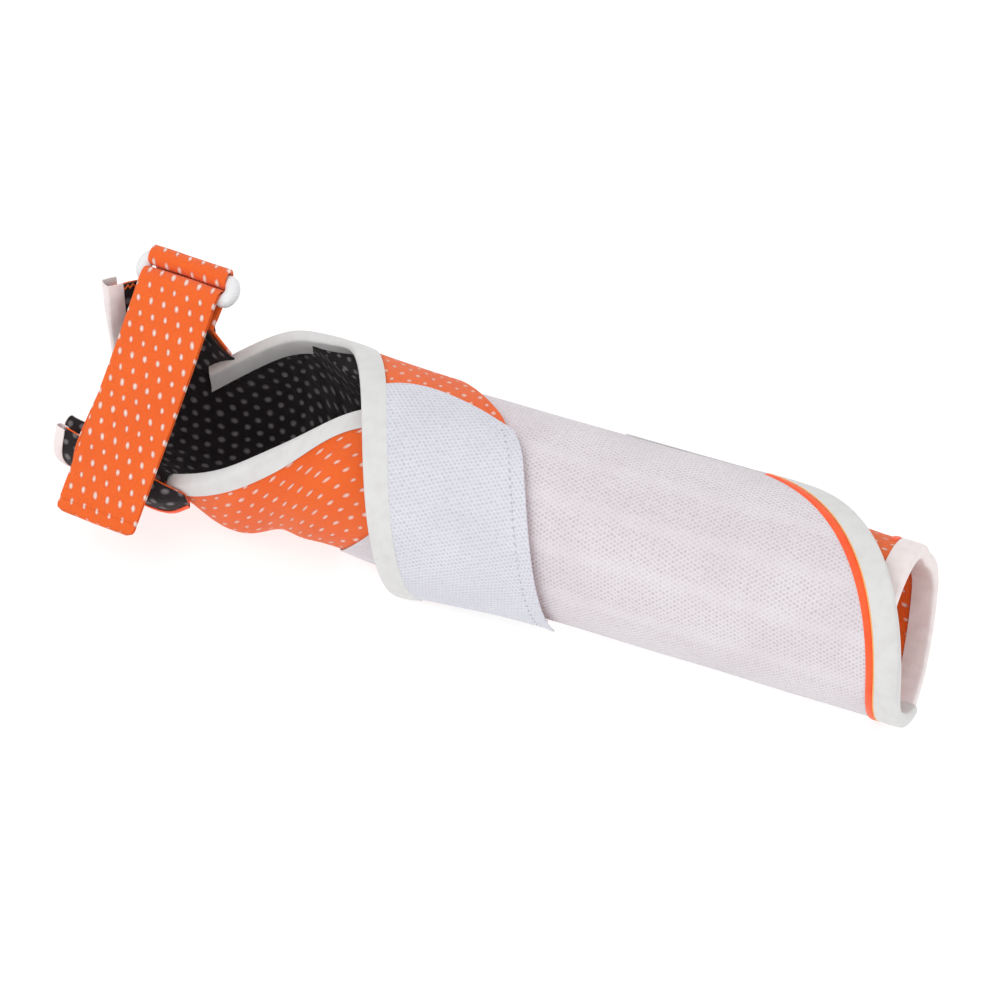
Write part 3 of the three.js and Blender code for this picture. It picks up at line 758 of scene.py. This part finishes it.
BAND_SECTIONS = [
    section(-2, [(12, 49), (12.5, 31), (15, 8), (11, -13), (-4, -20), (-19, -13), (-29.4, -1.6)]),
    section(11, [(30.2, 44.6), (27.8, 27), (24.5, 5), (14, -16), (-4, -23), (-20, -16), (-31, -3.5)]),
    section(30, [(29.5, 37), (28.3, 23), (26, 4), (15, -19), (-4, -26), (-21, -20), (-33.5, -6.5)]),
    section(BAND_END, [(27.2, 17), (28.5, 7), (27, -8), (17, -23), (-2, -31), (-22, -27), (-37.5, -10)]),
]
WRIST_SECTIONS = [
    section(WRIST_START, [(27, 13.1), (28.5, 3), (27, -10), (17, -23.5), (-1, -31.5), (-22, -27.5),
                          (-37.5, -10)]),
    section(71, [(36, 26.3), (40, 12), (38, -8), (24, -30), (-3, -38.5), (-28, -33.5), (-40.5, 2.7)]),
    section(88, [(36, 32), (41.5, 13), (39, -10), (26, -31), (-1, -39.3), (-30, -31.5), (-39, 13.5)]),
    round_section(108, 39.5, 138, 405),
    round_section(130, 38.8, 145, 442),
    round_section(WRIST_END, TUBE_R, 157, 455),
]
RAW_TOP = 14             # the hand band's top edge is raw and zigzagged up to here, and taped after it
TOP_TAPE_END = 42
WALL_TO_WING = 86        # where the far wall's tape leaves it for the wing's edge
GUSSET_END = 132
LIP_SECTIONS = [
    section(-3, [(-32.5, 1.6), (-36.4, -9), (-32, -18), (-24, -25)]),
    section(BAND_END, [(-40, -7.6), (-42.3, -13.5), (-40, -19), (-35, -26)]),
    section(59, [(-36, -14), (-35.5, -16.5), (-34.5, -19), (-33, -21.5)]),
]


def loft(sections, u, v):
    """Grid through sections: u along them and v across, each from 0 to 1."""
    across = np.stack([spline(s, v) for s in sections])
    return spline(across, u)


def grid_uv(grid, anchor=None):
    """UV of a grid: x along the guard, and distance across from one of the grid's columns."""
    step = np.linalg.norm(np.diff(grid, axis=1), axis=2)
    run = np.concatenate([np.zeros((len(grid), 1)), np.cumsum(step, 1)], 1)
    anchor = run.shape[1] // 2 if anchor is None else anchor
    return np.stack([grid[..., 0], run - run[:, anchor, None]], -1)


def wall_face(name, grid, wave, *nodes, anchor=None):
    """A wall's orange face, with wide gentle waves."""
    uv = grid_uv(grid, anchor)
    swell = 0.3 * calm(grid) * waves(uv, 40, wave)
    face = skin(name, grid, uv, 0, FACE, body_mesh, swell)
    place_piece(face, "orange_mesh", *nodes)


def wall_lining(name, grid, wave, *nodes):
    """Black lining inside a wall, which gathers in soft wrinkles away from its edges."""
    uv = grid_uv(grid)
    creases = (waves(uv, 13, wave)
               + 0.6 * ripple(uv[..., 0], 2.5 * uv[..., 1], 9, wave + 1))
    lining = skin(name, grid, uv, WALL - LINING, LINING, black_mesh, 0.35 * calm(grid) * creases)
    place_piece(lining, "black_mesh", *nodes)


def hand_pieces():
    v = np.linspace(0, 1, 110)
    band = loft(BAND_SECTIONS, np.linspace(0, 1, 44), v)
    normal = normals_of(band)
    wall_face("hand_band_face", band[2:, 4:-2], 7, "hand_band_mesh_face", "hand_band_foam")
    edge_tape("hand_band_end_tape", strip_of(*sides_swapped(band, normal), 6.5), WALL, white_tape_painted_light, 8,
              "white_binding", "hand_band_end_binding")
    taped = (band[:, 0, 0] > RAW_TOP) & (band[:, 0, 0] < TOP_TAPE_END)
    edge_tape("hand_band_top_tape", strip_of(band[taped], normal[taped], 7), WALL, black_mesh, 9,
              "black_mesh", "hand_band_top_binding")
    raw = (band[:, 0, 0] > 0.5) & (band[:, 0, 0] < RAW_TOP)
    strip, strip_normal = strip_of(band[raw], normal[raw], 3)
    place_piece(stitches("hand_band_zigzag", strip[:, -1] - strip_normal[:, -1] * (WALL + 0.2),
                         -strip_normal[:, -1], 1.3, 3.2, 0.35, orange_thread, 0.9), "orange_piping")

    edge_tape("hand_band_near_tape", strip_of(band[:, ::-1], normal[:, ::-1], 3), WALL, black_mesh, 15,
              "black_mesh")

    wrist = relax(loft(WRIST_SECTIONS, np.linspace(0, 1, 96), v), 70)
    wall_face("wrist_face", wrist[:, 1:-3], 4, "wrist_mesh_face", "wrist_foam", anchor=-1)
    joined = relax(np.concatenate([band[1:-2], wrist[2:]]), 3)
    wall_lining("hand_and_wrist_inner", joined[:, 2:-3], 5, "hand_band_lining", "wrist_lining")
    normal = normals_of(wrist)
    edge_tape("tongue_tape", strip_of(wrist[:, ::-1], normal[:, ::-1], BINDING, 3), WALL, white_tape, 10,
              "white_binding", "tongue_binding")

    t = np.linspace(0, 1, 36)[None]
    s = np.linspace(0, 1, 40)[:, None]
    patch = np.stack([loft(WRIST_SECTIONS, lerp(lerp(0.72, 0.9, t[0, k]), 0.95, s[:, 0]),
                           [lerp(0.5, 0.7, t[0, k])])[:, 0] for k in range(36)], 1)
    uv = grid_uv(patch)
    place_piece(skin("wrist_loop_patch_cloth", patch, uv, -0.9, 0.6, loop_warm), "loop_fabric",
                "wrist_loop_patch")
    return wrist, normal


def lip_pieces():
    grid = loft(LIP_SECTIONS, np.linspace(0, 1, 34), np.linspace(0, 1, 28))
    uv, normal = grid_uv(grid), normals_of(grid)
    quiet = calm(grid, 8)
    outer = skin("lip_lining_cloth", grid[1:], uv[1:], -1.4, LINING, black_mesh,
                 0.3 * quiet[1:] * waves(uv[1:], 11, 10), normal[1:])
    place_piece(outer, "black_mesh", "lip_lining")
    inner = skin("lip_backing_cloth", grid[1:], uv[1:], 0.1, LINING, body_mesh, 0, normal[1:])
    place_piece(inner, "orange_mesh", "lip_backing")
    top = grid + normal * 1.4
    wall = 2.8
    edge_tape("lip_tape", strip_of(*sides_swapped(top, normal), 4), wall, white_tape_painted_light, 11, "white_binding")
    edge_tape("lip_hem_tape", strip_of(top[:, ::-1], normal[:, ::-1], 3), wall, orange_tape, 16,
              "orange_mesh")
    line = top[6, 2:22] + normal[6, 2:22] * 0.3
    zigzag = stitches("lip_zigzag", line, normal[6, 2:22], 1.3, 3, 0.35, orange_thread, 0.9)
    place_piece(zigzag, "orange_piping")


# ---- wrist wing -------------------------------------------------------------------------
TOP_ANGLE = 133.6


def wing_edge(angle):
    turn = np.clip((TOP_ANGLE - np.asarray(angle, float)) / 180, 0, 1)
    return 104 + 55 * (1 - (1 - turn) ** 2)


def wing_place(x, angle):
    """Points of the wing's outer surface; it stands off the wrist along its hand edge."""
    across = x - wing_edge(angle)
    flare = lerp(3, 5.2, smooth(-angle, -WING_HINGE, 40))
    radius = WING_IN_R + WING_THICK + flare * (1 - across / WING_WIDTH) ** 2
    x, angle, radius = np.broadcast_arrays(x, angle, radius)
    return np.stack([x, -radius * np.cos(np.radians(angle)), radius * np.sin(np.radians(angle))], -1)


def wing_grid(across, angle):
    """Grid and UV of a panel of the wing; across runs from the hand edge to the elbow edge."""
    corner = WING_CORNER * smooth(angle, 68, 135) * (across / WING_WIDTH) ** 2
    x = wing_edge(angle) + across - corner
    return wing_place(x, angle), pair(x, np.radians(angle) * WING_MID_R)


def colour_line(across):
    """Angle where the white panel starts: highest a little before its middle."""
    return 98 - 0.0125 * (across - 38) ** 2


def wing_pieces(wrist, wrist_normal):
    angle = np.linspace(WING_ROOT, WING_FREE + 9, 92)[None]
    across = lerp(3, WING_WIDTH - 0.8 - 2.6 * smooth(-angle, -96, -80), np.linspace(0, 1, 40)[:, None])
    grid, uv = wing_grid(across, angle)
    face = skin("wing_orange_face", grid, uv, 0.7, 0.9, wing_mesh)
    place_piece(face, "orange_mesh", "wing_mesh_face", "wing_root_face", bend=bend_wing)
    lining = skin("wing_inner", grid, uv, 1.7, 0.9, body_mesh)
    place_piece(lining, "orange_mesh", "wing_lining", "wing_root_lining", bend=bend_wing)

    across = np.linspace(4, WING_WIDTH + 0.3, 44)[:, None]
    end = WING_FREE + 9 * smooth(across, 46, WING_WIDTH)
    angle = lerp(colour_line(across), end, np.linspace(0, 1, 84)[None])
    grid, uv = wing_grid(across, angle)
    hem = 0.45 * smooth(across, WING_WIDTH - 3.5, WING_WIDTH - 1.5)
    panel = skin("wing_white_panel", grid, uv, -0.15, 0.85, loop_cool,
                 0.15 * waves(uv, 50, 11) + hem)
    place_piece(panel, "loop_fabric", "wing_loop_panel", bend=bend_wing)

    far, far_normal = strip_of(wrist, wrist_normal, 9.5)
    keep = far[:, 0, 0] < WALL_TO_WING
    far, far_normal = far[keep], far_normal[keep]
    onward = far[0] + (far[0] - far[4]) * np.linspace(2.1, 0.4, 5)[:, None, None]
    far, far_normal = np.concatenate([onward, far]), np.concatenate([far_normal[:5], far_normal])
    angle = np.linspace(127, WING_FREE, 170)
    path = np.stack([wing_edge(angle), np.radians(angle) * WING_MID_R], 1)
    wing, wing_normal = flat_strip(path, lambda x, arc: wing_place(x, np.degrees(arc / WING_MID_R)), 9.5)
    bridge = np.linspace(1 / 3, 2 / 3, 12)[1:-1]
    joined = [np.concatenate([a, spline(np.stack([a[-8], a[-1], b[0], b[12]]), bridge), b])
              for a, b in ((far, wing), (far_normal, wing_normal))]
    strip, normal = relax(joined[0], 50), unit(relax(joined[1], 50))
    wall = np.concatenate([np.full(len(far), WALL), np.linspace(WALL, WING_THICK, 30),
                           np.full(len(wing) - 20, WING_THICK)])
    edge_tape("wing_edge_tape", (strip, normal), wall, white_tape, 12, "white_binding", "wing_binding",
              "wing_root_binding", "wrist_far_binding", bend=bend_wing)

    # Black mesh closes the corner between the far wall and the wing's root.
    corner = (wrist[:, 0, 0] > WALL_TO_WING) & (wrist[:, 0, 0] < GUSSET_END)
    low = (wrist - wrist_normal * (WALL - LINING))[corner, 3]
    high = strip[len(far) + 3:len(far) + 46, -1] - normal[len(far) + 3:len(far) + 46, -1] * WING_THICK
    low, high = evenly(low, 50), evenly(high, 50)
    gusset = lerp(low[:, None], high[:, None], np.linspace(0, 1, 16)[None, :, None])
    place_piece(skin("wing_root_gusset", gusset, grid_uv(gusset), 0, LINING, black_mesh), "black_mesh")

    angle = np.linspace(84, WING_FREE + 10, 200)
    line, _ = wing_grid(np.full(200, WING_WIDTH - 6.0), angle)
    up = unit(line * [0, 1, 1])
    place_piece(stitches("wing_hem_stitches", line + up * 0.25, up, 3.4, 1.3, 0.28, grey_thread),
                "loop_fabric", bend=bend_wing)


# ---- ring, tab and strap ----------------------------------------------------------------
RING_MID = (RING_LOW + RING_HIGH) / 2
RING_SKEW = 0.07
RING_SPACING = math.hypot(8.8, 5.5)
RING_TILT = np.array([8.8, 5.5]) / RING_SPACING
RING_UPPER = RING_MID[1:] + RING_TILT * RING_SPACING / 2
RING_LOWER = RING_MID[1:] - RING_TILT * RING_SPACING / 2
STRAP_DOWN = np.array([-0.797, -0.604])
STRAP_OUT = np.array([-0.604, 0.797])
STRAP_LENGTH = 108
FOLD_R = 3.8
UNDER_PLY = -2.1         # how far the fixed strap lies in from the ring's lower bar
OVER_PLY = 2.1           # how far the tail lies out from it
TAIL_START = 12          # the strap turns from fixed stretch to tail this far below the bar
ROOT_LEFT = [(-35.4, -20.9), (-29.6, -27.6), (-30, -31), (-33.6, -31.8), (-38.6, -27), (-41.6, -17),
             (-39, -3.5)]
ROOT_RIGHT = [(-42.4, -20.4), (-40.4, -24.2), (-41.4, -27.4), (-44.6, -27.6), (-47.6, -24), (-48.8, -17),
              (-46.6, -8.5)]


def askew(x):
    return np.array([RING_SKEW * (RING_MID[0] - x), 0])


def at_ring(x, down, out):
    """Point beside the ring's lower bar at x: down along the strap and out from it."""
    return RING_LOWER + STRAP_DOWN * down + STRAP_OUT * out + askew(x)


def evenly(points, count):
    s = along(points)
    new = np.linspace(0, s[-1], count)
    return np.stack([np.interp(new, s, points[:, k]) for k in range(points.shape[1])], 1)


def strap_line(x, root, landing):
    """One edge of the strap in (y, z): the sewn stretch, and the tail from under the ring's bar."""
    turns = np.radians(np.arange(-90, 91, 30))
    fold = [at_ring(x, -FOLD_R * math.cos(a), FOLD_R * math.sin(a)) for a in turns]
    turn = at_ring(x, TAIL_START, -3)
    sewn = [*root, at_ring(x, landing, UNDER_PLY), at_ring(x, 40, UNDER_PLY), turn]
    places = ((9, 3.5), (28, 2.5), (45, OVER_PLY), (75, OVER_PLY), (STRAP_LENGTH, OVER_PLY))
    free = [at_ring(x, *place) for place in places]
    line = spline(np.array(sewn + fold + free), np.linspace(0, 1, 1600))
    split = np.linalg.norm(line - turn, axis=1).argmin()
    return evenly(line[:split + 1], 110), evenly(line[split:], 130)


def ribbon_grid(left, right, x_left, x_right, start=0.0):
    """Grid across a ribbon between two curves, and its UV: x across and length along."""
    s = np.linspace(0, 1, 28)[:, None, None]
    yz = lerp(left[None], right[None], s)
    x = lerp(np.asarray(x_left)[None], np.asarray(x_right)[None], s[..., 0])
    grid = np.concatenate([x[..., None], yz], -1)
    run = along((left + right) / 2) + start
    uv = pair(s[..., 0] * (STRAP_RIGHT - STRAP_LEFT), run)
    return grid, uv


def ribbon_normal(grid):
    """Unit normals of a ribbon that runs across the guard, on the side that faces out."""
    return unit(np.cross(unit(np.gradient(grid, axis=1)), [1.0, 0, 0]))


def strap_plies(name, grid, uv, nodes, bend):
    """A strap's two mesh faces, pressed together at the edges, and the pale foam between them."""
    normal = ribbon_normal(grid)
    s = np.linspace(-1, 1, grid.shape[0])[:, None]
    crown = 0.3 * (1 - s**4) + 0.12 * calm(grid, 6) * waves(uv, 24, 13)
    front = skin(name + "_mesh_front", grid, uv, -1.2, 0.75, strap_mesh, crown, normal)
    inner = (slice(1, -1), slice(1, -1))
    core = skin(name + "_foam_core", grid[inner], uv[inner], -0.5, 1.0, foam_mat, 0, normal[inner])
    back = skin(name + "_mesh_back", grid, uv, 0.45, 0.75, strap_mesh, -crown, normal)
    for piece, slot, replaced in zip((front, core, back), ("orange_mesh", "foam", "orange_mesh"), nodes):
        place_piece(piece, slot, *replaced, bend=bend)


def strap_pieces():
    lines = [strap_line(STRAP_LEFT, ROOT_LEFT, 62), strap_line(STRAP_RIGHT, ROOT_RIGHT, 72)]
    shift = 6 * (1 - smooth(np.linspace(0, 1, 110), 0.2, 1))
    grid, uv = ribbon_grid(lines[0][0], lines[1][0], STRAP_LEFT + 0.8 - shift, STRAP_RIGHT - 3 - 1.6 * shift)
    strap_plies("strap", grid, uv, (["strap_face"], ["strap_core"], ["strap_back"]), None)

    def bend(piece):
        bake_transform(piece)

    grid, uv = ribbon_grid(lines[0][1], lines[1][1], np.full(130, STRAP_LEFT), np.full(130, STRAP_RIGHT),
                           float(uv[0, -1, 1]))
    # The tail's free corners are rounded.
    left = uv[:1, -1:, 1] - uv[..., 1]
    corner = 3.0
    inset = np.where(left < corner, corner - np.sqrt(np.maximum(0, corner**2 - (corner - left) ** 2)), 0)
    centre = (STRAP_LEFT + STRAP_RIGHT) / 2
    grid[..., 0] = centre + (grid[..., 0] - centre) * (1 - inset / (centre - STRAP_LEFT))
    strap_plies("tail", grid, uv, (["tail_back", "tail_hem"], ["tail_core"], ["tail_face"]), bend)
    normal = ribbon_normal(grid)
    hem = grid[1:-1, -6] + normal[1:-1, -6] * 1.5
    place_piece(stitches("tail_hem_stitches", hem, normal[1:-1, -6], 2.2, 1.9, 0.22, orange_thread),
                "orange_piping", bend=bend)


def ring_piece():
    """A stadium-shaped loop, fuller at its round ends."""
    thick_end = 3.3
    half = (RING_HIGH[0] - RING_LOW[0]) / 2 - thick_end
    r = RING_SPACING / 2
    straight = half - r
    turn = np.linspace(-math.pi / 2, math.pi / 2, 25)
    right = np.stack([straight + r * np.cos(turn), r * np.sin(turn)], 1)
    left = np.stack([-straight - r * np.cos(turn), -r * np.sin(turn)], 1)
    bar = np.linspace(-1, 1, 21)[1:-1] * straight
    upper = np.stack([-bar, np.full(19, r)], 1)
    lower = np.stack([bar, np.full(19, -r)], 1)
    loop = np.concatenate([right, upper, left, lower])
    n, m = len(loop), 16
    path = np.stack([RING_MID[0] + loop[:, 0],
                     RING_MID[1] + loop[:, 1] * RING_TILT[0] - RING_SKEW * loop[:, 0],
                     RING_MID[2] + loop[:, 1] * RING_TILT[1]], 1)
    tangent = unit(np.roll(path, -1, 0) - np.roll(path, 1, 0))
    face = unit(np.array([-RING_SKEW * RING_TILT[1], -RING_TILT[1], RING_TILT[0]]))
    outward = unit(np.cross(tangent, face))
    fat = lerp(1.7, thick_end, smooth(np.abs(loop[:, 0]), straight - 1, straight + 4))
    a = np.linspace(0, 2 * math.pi, m + 1)[:-1]
    points = (path[:, None] + fat[:, None, None]
              * (outward[:, None] * np.cos(a)[None, :, None] + face * np.sin(a)[None, :, None]))
    index = np.arange(n * m).reshape(n, m)
    ahead, beside = np.roll(index, -1, 0), np.roll(index, -1, 1)
    faces = np.stack([index, beside, np.roll(ahead, -1, 1), ahead], -1).reshape(-1, 4).tolist()
    uv = pair(np.arange(n)[:, None] * 1.2, np.arange(m)[None] * 0.7)
    piece = build("ring_loop", points.reshape(-1, 3), faces, uv.reshape(-1, 2), ring_mat)
    place_piece(piece, "ring_plastic", "ring", bend=lambda p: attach(p, "ring"))


def tab_piece():
    angles = np.radians(np.arange(-15, 196, 30))

    def line(x):
        turn = [RING_UPPER + 3.8 * np.array([math.cos(a), math.sin(a)]) for a in angles]
        points = [(34.9, 36), (34.8, 42), (34, 48.5), *turn, (30.9, 48.5), (32.8, 42), (32.8, 36)]
        return evenly(spline(np.array(points, float) + askew(x), np.linspace(0, 1, 900)), 120)

    taper = 10 * smooth(np.abs(np.linspace(-0.5, 0.5, 120)), 0.2, 0.5)
    grid, uv = ribbon_grid(line(STRAP_LEFT), line(STRAP_RIGHT), np.full(120, STRAP_LEFT), STRAP_RIGHT - taper)
    uv = uv + [0, 1.5]
    tab = skin("ring_tab_cloth", grid, uv, -0.9, 1.7, strap_mesh,
               0.1 * waves(uv, 20, 14), ribbon_normal(grid))
    place_piece(tab, "orange_mesh", "ring_tab")


def carried_nodes():
    """CAD nodes that keep their own shape get their plastic and hook-tape looks."""
    looks = {"flap_stay_1": stay_mat, "flap_stay_2": stay_mat, "flap_stay_3": stay_mat,
             "flap_hook_strip": hook_mat, "wing_hook_patch": hook_mat, "tail_hook_patch": hook_mat}
    for name, material in looks.items():
        mesh = frame["nodes"][name].data
        mesh.materials.clear()
        mesh.materials.append(material)


# ---- camera, light and floor ------------------------------------------------------------
def add_light(name, place, size, power):
    light = bpy.data.objects.new(name, bpy.data.lights.new(name, "AREA"))
    light.data.size = size
    light.data.energy = power
    light.location = place
    light.rotation_euler = (Vector((0, 0, 0.04)) - Vector(place)).to_track_quat("-Z", "Y").to_euler()
    bpy.context.scene.collection.objects.link(light)


def set_stage():
    scene = bpy.context.scene
    azimuth, elevation, distance = math.radians(24), math.radians(41), 1.4
    target = Vector((0.1904 - ORIGIN_X * 0.001, 0, AXIS_Z * 0.001 + 0.001))
    away = Vector((math.sin(azimuth) * math.cos(elevation), -math.cos(azimuth) * math.cos(elevation),
                   math.sin(elevation)))
    camera = bpy.data.objects.new("camera", bpy.data.cameras.new("camera"))
    scene.collection.objects.link(camera)
    camera.location = target + away * distance
    camera.rotation_euler = (-away).to_track_quat("-Z", "Y").to_euler()
    camera.data.angle = 2 * math.atan(0.21 / distance)
    scene.camera = camera

    world = bpy.data.worlds.new("studio")
    world.use_nodes = True
    set_inputs(world.node_tree.nodes["Background"], Color=(1, 1, 1, 1), Strength=0.86)
    scene.world = world
    add_light("key", (-0.5, -0.7, 1.4), 1.0, 6)
    add_light("fill", (1.0, -0.9, 0.8), 1.2, 2.5)

    size = 6
    mesh = bpy.data.meshes.new("floor")
    corners = [(-size, -size, 0), (size, -size, 0), (size, size, 0), (-size, size, 0)]
    mesh.from_pydata(corners, [], [(0, 1, 2, 3)])
    look = bpy.data.materials.new("floor")
    look.use_nodes = True
    shader = look.node_tree.nodes["Principled BSDF"]
    set_inputs(shader, Base_Color=(0.3, 0.3, 0.3, 1), Roughness=0.9, Emission_Color=(1, 1, 1, 1),
               Emission_Strength=0.78)
    mesh.materials.append(look)
    floor = bpy.data.objects.new("floor", mesh)
    scene.collection.objects.link(floor)
    scene.view_settings.view_transform = "Standard"


set_stage()
sleeve_pieces()
flap_pieces()
wing_pieces(*hand_pieces())
lip_pieces()
strap_pieces()
ring_piece()
tab_piece()
carried_nodes()
